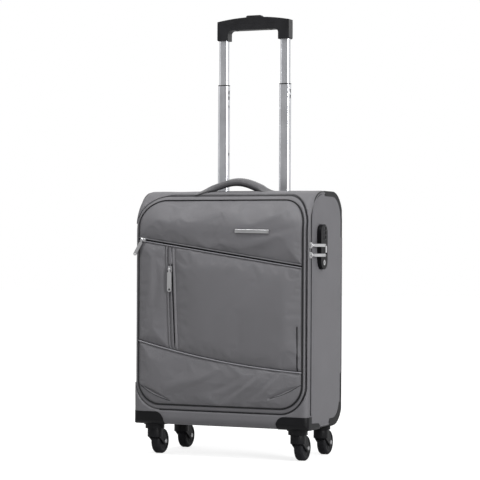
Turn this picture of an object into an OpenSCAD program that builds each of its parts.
// Softside upright suitcase: hinged lid, four swivel casters, two-stage trolley handle,
// combination lock, carry handles and zipper sliders.
// X runs across the front (lock side is +X), the front faces -Y, Z is up.
// The origin is on the floor at the middle of the case.

/* [Case body] */
// Width of the body
body_w = 386; // [340:1:420]
// Depth of the body
body_d = 196; // [180:2:210]
// Height of the body's underside above the floor
body_bottom = 68; // [66:1:74]
// Height of the body's top above the floor
body_top = 550; // [520:5:580]
// Thickness of the padded fabric wall
wall = 3; // [2:0.5:4]
// Radius of the arch at the top of the front
front_top_r = 85; // [75:1:95]
// Radius of the top rear corner
back_top_r = 58; // [45:1:62]
// Radius of the bottom rear corner
back_bottom_r = 52; // [40:1:56]
// Radius of the bottom front corner
front_bottom_r = 16; // [10:1:20]
// Radius of the upright edges at the front
edge_r = 10; // [8:1:10]
// Radius of the upright edges at the back
back_edge_r = 4; // [3.5:0.5:8]

/* [Lid] */
// Distance from the lid's edge to the body's side
lid_side_gap = 3; // [3:0.5:5]
// Height of the lid's lower edge
lid_bottom = 98; // [96:1:104]
// Distance from the body's top down to the lid's upper edge
lid_drop = 9; // [7:1:12]
// Corner radius of the lid
lid_r = 56; // [45:1:60]
// Depth of the lid's rim
lid_depth = 12; // [11:0.5:13]
// Thickness of the pocket fabric on the lid
pocket_t = 2.5; // [2:0.5:3]

/* [Casters] */
// Distance of the swivel axes from the middle, across
caster_x = 161.5; // [155:0.5:165]
// Distance of the swivel axes from the middle, front to back
caster_y = 65; // [62:1:67]
// Distance from the swivel axis back to the wheel's axle
trail = 25; // [24:0.5:27]
// Wheel diameter
wheel_d = 52; // [50:1:53]
// Wheel width
wheel_w = 19.6; // [17:0.2:20]
// Height of the swivel face above the floor
swivel_z = 55; // [55:0.5:57]

/* [Trolley handle] */
// Distance of each pole from the middle
pole_x = 71; // [65:1:75]
// Position of the poles behind the middle
pole_y = 80; // [79:0.5:81]
// Height of the top of the middle stage when pulled out
middle_top = 783.7; // [700:0.1:790]
// Height of the underside of the grip's legs at rest
grip_z = 878; // [870:1:884]
// Overall length of the grip
grip_w = 166; // [160:1:172]
// Travel of the push button
button_travel = 5; // [3:0.5:5]

/* [Lock] */
// Height of the lock's centre
lock_z = 437; // [420:1:440]
// Position of the lock's centre, front to back
lock_y = -33; // [-35:1:-28]
// Length of the lock
lock_h = 92; // [88:1:96]
// Width of the lock
lock_w = 36; // [34:1:38]
// How far the lock stands out
lock_t = 12; // [11:0.5:13]

/* [Hidden] */
$fn = 64;

gap = 0.3;                        // clearance between pieces that move apart
fit = 0.05;                       // radial clearance of a shaft in its hole
far = 300;                        // long enough to reach past the body
body_x = body_w / 2;
body_y = body_d / 2;
lid_x = body_x - lid_side_gap;
lid_top = body_top - lid_drop;
hinge_x = -lid_x - 0.5;           // axis of the lid's hinge
hinge_y = -body_y + 4.8;
piping_d = 4;
guard_t = 2.5;
lining_x = body_x - 8;
lining_t = 1.5;
lining_back = 67;
side_front = -78;                 // front edge of the side panels

// outline of the panel inside the piping on the lid
panel_x = lid_x - 6.5;
panel_lo = lid_bottom + 11;
panel_hi = lid_top - 11;

// trolley tubes: outside width, depth and wall
outer_size = [25.5, 18.5];
middle_size = [23, 16];
upper_size = [20, 13.5];
tube_wall = 0.9;
upper_wall = 1.5;
tube_r = 5;
outer_lo = 124;
outer_hi = 546;
middle_len = 318;
upper_len = 253;
bush_t = 2;
lock_pin_z = grip_z - upper_len + 10;
pin_hole_spacing = 102;
pin_r = 3;

grip_d = 22;
leg_w = 25;
grip_top = grip_z + 49;
grip_arch_r = 440;
grip_split = grip_z + 35.2;       // joint between the grip's shell and its cap
cavity_lo = grip_z + 25;
button_w = 36;
button_d = 12;
rod_r = 2;

wheel_r = wheel_d / 2;
crown_r = 15.5;
crown_t = 3.9;
crown_z = swivel_z - gap;
fender_z = 37;                    // lower edge of the fork's rounded front
arm_in = wheel_w / 2 + 0.6;
arm_t = 2.9;
pin_d = 8;
axle_r = 2.5;
neck_r = 20;

lock_face = body_x + lock_t;
dial_r = 6;
dial_h = 7;
dial_x = lock_face + 0.6 - dial_r;
dial_pitch = 9;
dial_z = lock_z + 28;
cylinder_r = 5.5;

side_handle_x = -body_x - 6;
carry_z = body_top + 6;

pull_reach = 6;                   // distance of a pull's eye from the face under its slider
main_face = body_x + 1.5;
main_y = -89;
main_z = [lock_z + 3, lock_z - 17];
main_tilt = 9;
front_face = -body_y - pocket_t;
diagonal_slope = 8.5;             // slope of the diagonal pocket zipper
diagonal_hang = 30;               // lean of the pull on it
diagonal_at = [-172.5, 450.4];
vertical_at = [-110, 389];

// a rectangle from lo to hi; r lists the lower left, lower right, upper right, upper left radii
module corner_rect(lo, hi, r) {
    corners = [lo, [hi.x, lo.y], hi, [lo.x, hi.y]];
    difference() {
        translate(lo) square(hi - lo);
        for (i = [0:3]) if (r[i] > 0) translate(corners[i]) rotate(90 * i) difference() {
            translate([-1, -1]) square(r[i] + 1);
            translate([r[i], r[i]]) circle(r[i]);
        }
    }
}

module even_rect(size, r) {
    corner_rect(-size / 2, size / 2, [r, r, r, r]);
}

// drawn in Y,Z and extruded across the case
module along_x(x0, x1) {
    translate([x0, 0, 0]) rotate([90, 0, 90]) linear_extrude(x1 - x0) children();
}

// drawn in X,Z and extruded front to back
module along_y(y0, y1) {
    translate([0, y1, 0]) rotate([90, 0, 0]) linear_extrude(y1 - y0) children();
}

module block(lo, hi) {
    translate(lo) cube(hi - lo);
}

// the closed loop of a round rod in the X,Y plane, along a rounded rectangle
module rod_loop(lo, hi, r, d) {
    corners = [lo, [hi.x, lo.y], hi, [lo.x, hi.y]];
    for (i = [0:3]) {
        ahead = corners[(i + 1) % 4] - corners[i];
        len = norm(ahead) - r[i] - r[(i + 1) % 4];
        translate(corners[i]) rotate(90 * i) {
            translate([r[i], r[i], 0]) rotate(180) rotate_extrude(angle = 90)
                translate([r[i], 0]) circle(d / 2, $fn = 24);
            translate([r[i], 0, 0]) rotate([0, 90, 0]) cylinder(len, d / 2, d / 2, $fn = 24);
        }
    }
}

// side profile of the body, drawn in Y,Z; inset shrinks it
module side_profile(inset = 0) {
    corner_rect([-body_y + inset, body_bottom + inset], [body_y - inset, body_top - inset],
        [front_bottom_r - inset, back_bottom_r - inset, back_top_r - inset,
            front_top_r - inset]);
}

// the whole body as a solid; a negative inset gives the skin around it
module body_solid(inset = 0) {
    intersection() {
        along_x(-body_x + inset, body_x - inset) side_profile(inset);
        linear_extrude(2 * far + 100) corner_rect([-body_x, -body_y] + [1, 1] * inset,
            [body_x, body_y] - [1, 1] * inset,
            [edge_r - inset, edge_r - inset, back_edge_r - inset, back_edge_r - inset]);
    }
}

// a layer of thickness t on the outside of the body, inside the region given as children
module skin(t) {
    difference() {
        intersection() {
            body_solid(-t);
            union() children();
        }
        body_solid(0);
    }
}

// front outline of the lid, drawn in X,Z; hinge_r is the radius of its lower hinge corner
module lid_outline(grow = 0, hinge_r = lid_r) {
    r = lid_r + grow;
    corner_rect([-lid_x - grow, lid_bottom - grow], [lid_x + grow, lid_top + grow],
        [hinge_r + grow, r, r, r]);
}

module panel_outline(grow = 0) {
    r = lid_r - 6 + grow;
    corner_rect([-panel_x - grow, panel_lo - grow], [panel_x + grow, panel_hi + grow],
        [r, r, r, r]);
}

// everything in front of the lid's parting surface
module lid_zone(grow = 0, hinge_r = lid_r) {
    difference() {
        along_y(-far, -50 + grow) lid_outline(grow, hinge_r);
        along_x(-far, far) side_profile(lid_depth + grow);
    }
}

module tube_profile(size, wall_t) {
    difference() {
        even_rect(size, tube_r);
        even_rect(size - [2, 2] * wall_t, tube_r - wall_t);
    }
}

module at_poles() {
    for (s = [-1, 1]) translate([s * pole_x, pole_y, 0]) children();
}

module at_casters() {
    for (x = [-1, 1], y = [-1, 1]) translate([x * caster_x, y * caster_y, 0]) children();
}

// ---- case ----

module body_shell() {
    color("dimgray") difference() {
        body_solid(0);
        body_solid(wall);
        lid_zone(0.6, lid_r - 9);
        at_poles() translate([0, 0, body_top - 70])
            linear_extrude(100) even_rect(outer_size + [0.4, 0.4], tube_r);
        at_casters() translate([0, 0, body_bottom - 1])
            cylinder(wall + 8, pin_d / 2 + 0.3, pin_d / 2 + 0.3);
        translate([hinge_x, hinge_y, lid_bottom]) cylinder(lid_top - lid_bottom, 2.1, 2.1);
    }
}

module lining_profile(inset) {
    corner_rect([-body_y + 13 + inset, body_bottom + 8 + inset],
        [lining_back - inset, body_top - 12 - inset],
        [8 - inset, 8 - inset, 25 - inset, front_top_r - 13 - inset]);
}

module body_lining() {
    color("slategray") difference() {
        along_x(-lining_x, lining_x) lining_profile(0);
        along_x(-lining_x + lining_t, lining_x - lining_t) lining_profile(lining_t);
        along_y(-far, -45) lid_outline(-8);
    }
}

module frame_hoops() {
    color("ivory") for (x = [-1, 1])
        translate([x * (body_x - 5.5), 0, 0]) rotate([90, 0, 90])
            rod_loop([side_front, body_bottom + 10], [body_y - 10, body_top - 16],
                [20, 44, 48, front_top_r - 27], 4);
}

module back_board() {
    color("darkslategray") along_y(90, 93)
        corner_rect([-body_x + 15, body_bottom + 44], [body_x - 15, body_top - 47],
            [12, 12, 12, 12]);
}

// where the corner guards and skids cover the piping
module piping_breaks() {
    block([-far, -5, body_top - 94], [far, far, far * 2]);
    block([-far, 30, 0], [far, far, body_bottom + 105]);
    block([-far, -far, 0], [far, far, body_bottom + 16]);
    block([-far, -far, 0], [far, -60, body_bottom + 27]);
}

module side_piping() {
    color("black") difference() {
        for (x = [-1, 1]) translate([x * body_x, 0, 0]) rotate([90, 0, 90])
            rod_loop([side_front, body_bottom], [body_y, body_top],
                [front_bottom_r, back_bottom_r, back_top_r, front_top_r - 25], piping_d);
        body_solid(0);
        piping_breaks();
    }
}

// the two zipper chains leave the hinge side free
module zipper_side() {
    block([-lid_x + lid_r, -far, 0], [far, -46, body_top + 50]);
}

module body_zipper() {
    color("black") intersection() {
        skin(1.5) along_y(-far, side_front - 9) difference() {
            lid_outline(4);
            lid_outline(0.9);
        }
        zipper_side();
    }
}

module top_corner_guards() {
    color("black") difference() {
        skin(2) for (s = [-1, 1]) translate([s * (body_x - 2), 0, 0])
            block([-12, -5, body_top - 93], [12, far, body_top + 20]);
        side_window();
    }
}

// the corner strip left on a side face by a guard, with its middle cut away
module side_window() {
    along_x(-far, far) side_profile(9);
}

module base_skids() {
    color("black") {
        difference() {
            skin(guard_t) for (s = [-1, 1]) translate([s * (body_x - 6), 0, 0])
                block([-14, 40, body_bottom + 44.3], [14, far, body_bottom + 104]);
            side_window();
        }
        block([-8, -20, body_bottom - 6], [12, 40, body_bottom]);
    }
}

module lock_housing() {
    color("black") difference() {
        along_x(body_x, lock_face) translate([lock_y, lock_z])
            even_rect([lock_w, lock_h], lock_w / 2);
        for (i = [-1:1]) translate([dial_x, lock_y, dial_z + i * dial_pitch])
            block([-dial_r - gap, -dial_r - 0.6, -dial_h / 2 - gap],
                [far, dial_r + 0.6, dial_h / 2 + gap]);
        block([body_x + 4, lock_y + 4, lock_z - 20], [far, lock_y + 13, lock_z + 2]);
        translate([body_x + 3, lock_y, lock_z - 32]) rotate([0, 90, 0])
            cylinder(far, cylinder_r + fit, cylinder_r + fit);
    }
    color("silver") translate([dial_x, lock_y, dial_z - 1.5 * dial_pitch - 1])
        cylinder(3 * dial_pitch + 2, 1.5, 1.5);
}

module trolley_bezel() {
    color("black") difference() {
        block([-98, 58, body_top - 60], [98, body_y, body_top - 2]);
        body_solid(0);
        at_poles() linear_extrude(outer_hi) even_rect(outer_size, tube_r);
        at_poles() linear_extrude(far * 2) even_rect(middle_size + [1, 1], tube_r);
    }
}

module outer_tubes() {
    color("silver") at_poles() translate([0, 0, outer_lo])
        linear_extrude(outer_hi - outer_lo) tube_profile(outer_size, tube_wall);
}

module tube_cups() {
    color("black") at_poles() difference() {
        block([-15, -11.7, body_bottom + 46], [15, 10, outer_lo + 10]);
        translate([0, 0, outer_lo]) linear_extrude(20) even_rect(outer_size, tube_r);
    }
}

// ---- casters ----

// where a right-hand housing covers the body; t is -1 in front and 1 behind
module housing_cover(t, low) {
    if (t < 0) along_y(-far, side_front + 3)
        corner_rect([caster_x - 35, low], [far, low + 35], [3, 0, 0, 18]);
    if (t < 0) along_x(caster_x - 35, far)
        polygon([[-far, low], [-28, low], [-28, low + 12], [-34, low + 19],
            [side_front, low + 22], [-far, low + 22]]);
    if (t > 0) difference() {
        block([caster_x - 27, 25, low], [far, far, low + 54]);
        along_x(body_x - 0.5, far) side_profile(14);
        block([0, 0, low + 22], [body_x - 20, far, far]);
    }
}

// s and t give the corner: -1 or 1 across, -1 or 1 front to back
module wheel_housing(s, t) {
    low = body_bottom - 10;
    color("black") difference() {
        union() {
            skin(guard_t) mirror([s < 0 ? 1 : 0, 0, 0]) intersection() {
                housing_cover(t, low);
                along_y(-far, far)
                    corner_rect([-far, low], [body_x + guard_t, far], [0, 12, 0, 0]);
            }
            translate([s * caster_x, t * caster_y, swivel_z])
                cylinder(body_bottom - swivel_z, neck_r, neck_r);
            translate([s * caster_x, t * caster_y, body_bottom - guard_t - 2])
                cylinder(guard_t + 2, neck_r + 3, neck_r + 3);
        }
        translate([s * caster_x, t * caster_y, 0])
            cylinder(far, pin_d / 2 + fit, pin_d / 2 + fit);
        body_solid(0);
    }
}

module wheel_housing_front_left() wheel_housing(-1, -1);
module wheel_housing_front_right() wheel_housing(1, -1);
module wheel_housing_rear_left() wheel_housing(-1, 1);
module wheel_housing_rear_right() wheel_housing(1, 1);

module swivel_pins() {
    head = crown_z - crown_t - 2;
    color("silver") at_casters() {
        translate([0, 0, head]) cylinder(body_bottom + 7 - head, pin_d / 2, pin_d / 2);
        translate([0, 0, head]) cylinder(2 - gap, pin_d / 2 + 2, pin_d / 2 + 2);
    }
}

module fork(s, t) {
    color("dimgray") translate([s * caster_x, t * caster_y, 0]) difference() {
        union() {
            translate([0, 0, fender_z]) cylinder(crown_z - fender_z, crown_r, crown_r);
            for (m = [0, 1]) mirror([m, 0, 0]) along_x(arm_in, arm_in + arm_t) {
                polygon([[-6, crown_z - 4], [11, crown_z - 1], [trail + 7.2, wheel_r + 3.4],
                    [trail - 6, wheel_r - 5.3], [-8, fender_z + 2]]);
                translate([trail, wheel_r]) circle(8);
            }
        }
        along_x(-arm_in, arm_in) translate([trail, wheel_r]) circle(wheel_r + 0.8);
        cylinder(far, pin_d / 2 + fit, pin_d / 2 + fit);
        cylinder(crown_z - crown_t, pin_d / 2 + 2.5, pin_d / 2 + 2.5);
        translate([-far, trail, wheel_r]) rotate([0, 90, 0])
            cylinder(2 * far, axle_r + fit, axle_r + fit);
    }
}

module fork_front_left() fork(-1, -1);
module fork_front_right() fork(1, -1);
module fork_rear_left() fork(-1, 1);
module fork_rear_right() fork(1, 1);

module wheel(s, t) {
    hub_r = wheel_r - 7;
    translate([s * caster_x, t * caster_y + trail, wheel_r]) rotate([0, 90, 0]) {
        color("black") difference() {
            cylinder(wheel_w - 2, hub_r, hub_r, center = true);
            cylinder(wheel_w, axle_r + fit, axle_r + fit, center = true);
        }
        color("dimgray") rotate_extrude()
            corner_rect([hub_r, -wheel_w / 2], [wheel_r, wheel_w / 2], [0, 5, 5, 0]);
    }
}

module wheel_front_left() wheel(-1, -1);
module wheel_front_right() wheel(1, -1);
module wheel_rear_left() wheel(-1, 1);
module wheel_rear_right() wheel(1, 1);

module axle(s, t) {
    reach = arm_in + arm_t;
    color("silver") translate([s * caster_x, t * caster_y + trail, wheel_r])
        rotate([0, 90, 0]) {
            cylinder(2 * reach, axle_r, axle_r, center = true);
            for (m = [0, 1]) mirror([0, 0, m]) translate([0, 0, reach])
                cylinder(1.2, 4.5, 4);
        }
}

module axle_front_left() axle(-1, -1);
module axle_front_right() axle(1, -1);
module axle_rear_left() axle(-1, 1);
module axle_rear_right() axle(1, 1);

// ---- handles ----

// a padded arch along X; the origin is on its swing axis
module handle_arch(span, rise, width, thick) {
    half = span / 2;
    r_in = (half * half + rise * rise) / (2 * rise);
    foot_r = 5;
    along_y(-width / 2, width / 2) intersection() {
        difference() {
            translate([0, rise - r_in]) circle(r_in + thick, $fn = 160);
            translate([0, rise - r_in]) circle(r_in, $fn = 160);
        }
        translate([-half - 20, 3]) square([span + 40, rise + thick]);
    }
    for (s = [-1, 1]) translate([s * (half + 3), 0, 0]) rotate([0, 90, 0])
        cylinder(16, foot_r, foot_r, center = true);
}

module carry_handle() {
    color("dimgray") translate([-2, -6, carry_z]) handle_arch(140, 17, 24, 12);
}

module side_handle() {
    color("dimgray") translate([side_handle_x, 0, 330]) rotate([0, -90, 0])
        handle_arch(150, 8, 24, 5);
}

// ---- trolley handle ----

module middle_tube(s) {
    top = middle_top - bush_t;
    color("silver") difference() {
        translate([s * pole_x, pole_y, top - middle_len]) linear_extrude(middle_len)
            tube_profile(middle_size, tube_wall);
        for (z = [lock_pin_z, lock_pin_z + pin_hole_spacing])
            translate([s * (pole_x - 12), pole_y, z]) rotate([0, s * 90, 0])
                cylinder(8, pin_r + 0.1, pin_r + 0.1);
    }
}

module middle_tube_left() middle_tube(-1);
module middle_tube_right() middle_tube(1);

module middle_bushes() {
    color("black") at_poles() translate([0, 0, middle_top - bush_t])
        linear_extrude(bush_t) difference() {
            even_rect(middle_size + [1, 1], tube_r);
            even_rect(upper_size + [0.7, 0.7], tube_r);
        }
}

module upper_tube(s) {
    color("silver") difference() {
        translate([s * pole_x, pole_y, grip_z - upper_len]) linear_extrude(upper_len + 12)
            tube_profile(upper_size, upper_wall);
        translate([s * (pole_x - 12), pole_y, lock_pin_z]) rotate([0, s * 90, 0])
            cylinder(8, pin_r + fit, pin_r + fit);
    }
}

module upper_tube_left() upper_tube(-1);
module upper_tube_right() upper_tube(1);

module grip_block() {
    translate([0, pole_y, 0]) along_y(-grip_d / 2, grip_d / 2) difference() {
        intersection() {
            corner_rect([-grip_w / 2, grip_z], [grip_w / 2, grip_top], [3, 3, 9, 9]);
            translate([0, grip_top - grip_arch_r]) circle(grip_arch_r, $fn = 200);
        }
        inner = grip_w / 2 - leg_w;
        corner_rect([-inner, grip_z - 1], [inner, cavity_lo - 3], [0, 0, 8, 8]);
    }
}

module grip_shell() {
    color("black") difference() {
        grip_block();
        block([-far, -far, grip_split], [far, far, grip_top + 10]);
        translate([0, pole_y, 0])
            block([-grip_w / 2 + 6, -7, cavity_lo], [grip_w / 2 - 6, 7, grip_split + 1]);
        at_poles() translate([0, 0, grip_z - 1])
            linear_extrude(13) even_rect(upper_size, tube_r);
        at_poles() translate([0, 0, grip_z]) cylinder(30, rod_r + 1, rod_r + 1);
    }
}

module grip_cap() {
    color("dimgray") difference() {
        intersection() {
            grip_block();
            block([-far, 0, grip_split], [far, far, grip_top + 10]);
        }
        translate([-button_w / 2 - gap, pole_y - button_d / 2 - gap, grip_z])
            cube([button_w + 2 * gap, button_d + 2 * gap, 100]);
    }
}

module push_button() {
    color("black") translate([0, pole_y, 0]) along_y(-button_d / 2, button_d / 2)
        corner_rect([-button_w / 2, grip_split - 0.1], [button_w / 2, grip_top + 4],
            [0, 0, 4, 4]);
}

module button_spring() {
    turns = 3;
    pitch = 1.9;
    color("silver") for (i = [0:turns - 1])
        translate([0, pole_y, cavity_lo + 0.8 + i * pitch])
            rotate_extrude() translate([4, 0]) circle(0.7, $fn = 24);
}

module push_rods() {
    top = grip_split - 0.5;
    color("silver") translate([0, pole_y, 0]) {
        block([-grip_w / 2 + 7, -3.5, top - 4], [grip_w / 2 - 7, 3.5, top]);
        for (s = [-1, 1]) translate([s * pole_x, 0, lock_pin_z + pin_r + button_travel + 1])
            cylinder(top - 3 - lock_pin_z - pin_r - button_travel - 1, rod_r, rod_r);
    }
}

module lock_pin(s) {
    color("silver") translate([s * (pole_x - upper_size.x / 2), pole_y, lock_pin_z])
        rotate([0, s * 90, 0]) cylinder(12, pin_r, pin_r);
}

module lock_pin_left() lock_pin(-1);
module lock_pin_right() lock_pin(1);

// ---- lock ----

module dial(i) {
    color("dimgray") translate([dial_x, lock_y, dial_z + i * dial_pitch]) difference() {
        cylinder(dial_h, dial_r, dial_r, center = true);
        cylinder(dial_h + 1, 1.5 + fit, 1.5 + fit, center = true);
    }
}

module dial_upper() dial(1);
module dial_middle() dial(0);
module dial_lower() dial(-1);

module lock_button() {
    color("silver") along_x(body_x + 4 + gap, lock_face + 0.8)
        corner_rect([lock_y + 4 + gap, lock_z - 12], [lock_y + 13 - gap, lock_z + 2 - gap],
            [2, 2, 2, 2]);
}

module key_cylinder() {
    color("silver") translate([body_x + 3 + gap, lock_y, lock_z - 32]) rotate([0, 90, 0])
        difference() {
            cylinder(lock_t - 3, cylinder_r, cylinder_r);
            translate([-3.5, -0.6, lock_t - 7]) cube([7, 1.2, 5]);
        }
}

// ---- lid ----

module lid_panel() {
    color("dimgray") difference() {
        intersection() {
            body_solid(0);
            lid_zone(0);
        }
        intersection() {
            along_x(-lid_x, lid_x) side_profile(wall);
            along_y(-far, 0) lid_outline(-wall);
        }
    }
}

module lid_piping() {
    color("black") skin(piping_d - 0.5) along_y(-far, -46) difference() {
        panel_outline(2);
        panel_outline(-2);
    }
}

module lid_zipper() {
    color("black") intersection() {
        skin(1.5) along_y(-far, -50) difference() {
            lid_outline(-0.2);
            lid_outline(-3.2);
        }
        zipper_side();
    }
}

module pocket_panel() {
    color("dimgray") skin(pocket_t) along_y(-far, -46) panel_outline(-2);
}

// ---- zipper sliders and pulls ----

// stands on the plane y = 0, facing -y, and runs along z; turn sets the pull's direction
module slider(turn = 0) {
    color("silver") {
        block([-4, -3.6, -6], [4, -gap, 6]);
        rotate([0, turn, 0]) {
            for (s = [-1, 1]) translate([s * 2.75, 0, 0])
                block([-0.75, -7, -2], [0.75, -3.5, 2]);
            translate([0, -6, 0]) rotate([0, 90, 0]) cylinder(6, 0.8, 0.8, center = true);
        }
    }
}

// hangs along -z from its eye at the origin
module pull(len, width = 10) {
    color("silver") rotate([90, 0, 0]) difference() {
        union() {
            rotate([0, 90, 0]) cylinder(3.4, 2, 2, center = true);
            translate([0, 0, -0.75]) linear_extrude(1.5) {
                translate([-1.7, -8]) square([3.4, 7]);
                corner_rect([-width / 2, -len], [width / 2, -6], [width / 2, width / 2, 2, 2]);
            }
        }
        rotate([0, 90, 0]) cylinder(4, 0.8 + 0.08, 0.8 + 0.08, center = true);
        translate([0, width / 2 - len, -1]) cylinder(2, width * 0.22, width * 0.22);
    }
}

module main_slider(i) {
    translate([main_face, main_y, main_z[i]]) rotate([0, 0, 90]) slider(90);
}

module main_pull(i) {
    translate([main_face + pull_reach, main_y, main_z[i]])
        rotate([0, 0, 90 - main_tilt]) rotate([0, -90, 0]) pull(54, 6);
}

module main_slider_upper() main_slider(0);
module main_slider_lower() main_slider(1);
module main_pull_upper() main_pull(0);
module main_pull_lower() main_pull(1);

module diagonal_slider() {
    translate([diagonal_at.x, front_face, diagonal_at.y])
        rotate([0, -90 + diagonal_slope, 0]) slider(-90 - diagonal_slope + diagonal_hang);
}

module diagonal_pull() {
    translate([diagonal_at.x, front_face - pull_reach, diagonal_at.y])
        rotate([0, diagonal_hang, 0]) pull(38, 7);
}

module vertical_slider() {
    translate([vertical_at.x, front_face, vertical_at.y]) slider();
}

module vertical_pull() {
    translate([vertical_at.x, front_face - pull_reach, vertical_at.y]) pull(47);
}

body_shell();
body_lining();
frame_hoops();
back_board();
side_piping();
body_zipper();
top_corner_guards();
base_skids();
lock_housing();
trolley_bezel();
outer_tubes();
tube_cups();
wheel_housing_front_left();
wheel_housing_front_right();
wheel_housing_rear_left();
wheel_housing_rear_right();
swivel_pins();
carry_handle();
side_handle();
middle_tube_left();
middle_tube_right();
middle_bushes();
upper_tube_left();
upper_tube_right();
grip_shell();
grip_cap();
push_button();
button_spring();
push_rods();
lock_pin_left();
lock_pin_right();
fork_front_left();
fork_front_right();
fork_rear_left();
fork_rear_right();
wheel_front_left();
wheel_front_right();
wheel_rear_left();
wheel_rear_right();
axle_front_left();
axle_front_right();
axle_rear_left();
axle_rear_right();
dial_upper();
dial_middle();
dial_lower();
lock_button();
key_cylinder();
lid_panel();
lid_piping();
lid_zipper();
pocket_panel();
main_slider_upper();
main_slider_lower();
main_pull_upper();
main_pull_lower();
diagonal_slider();
diagonal_pull();
vertical_slider();
vertical_pull();
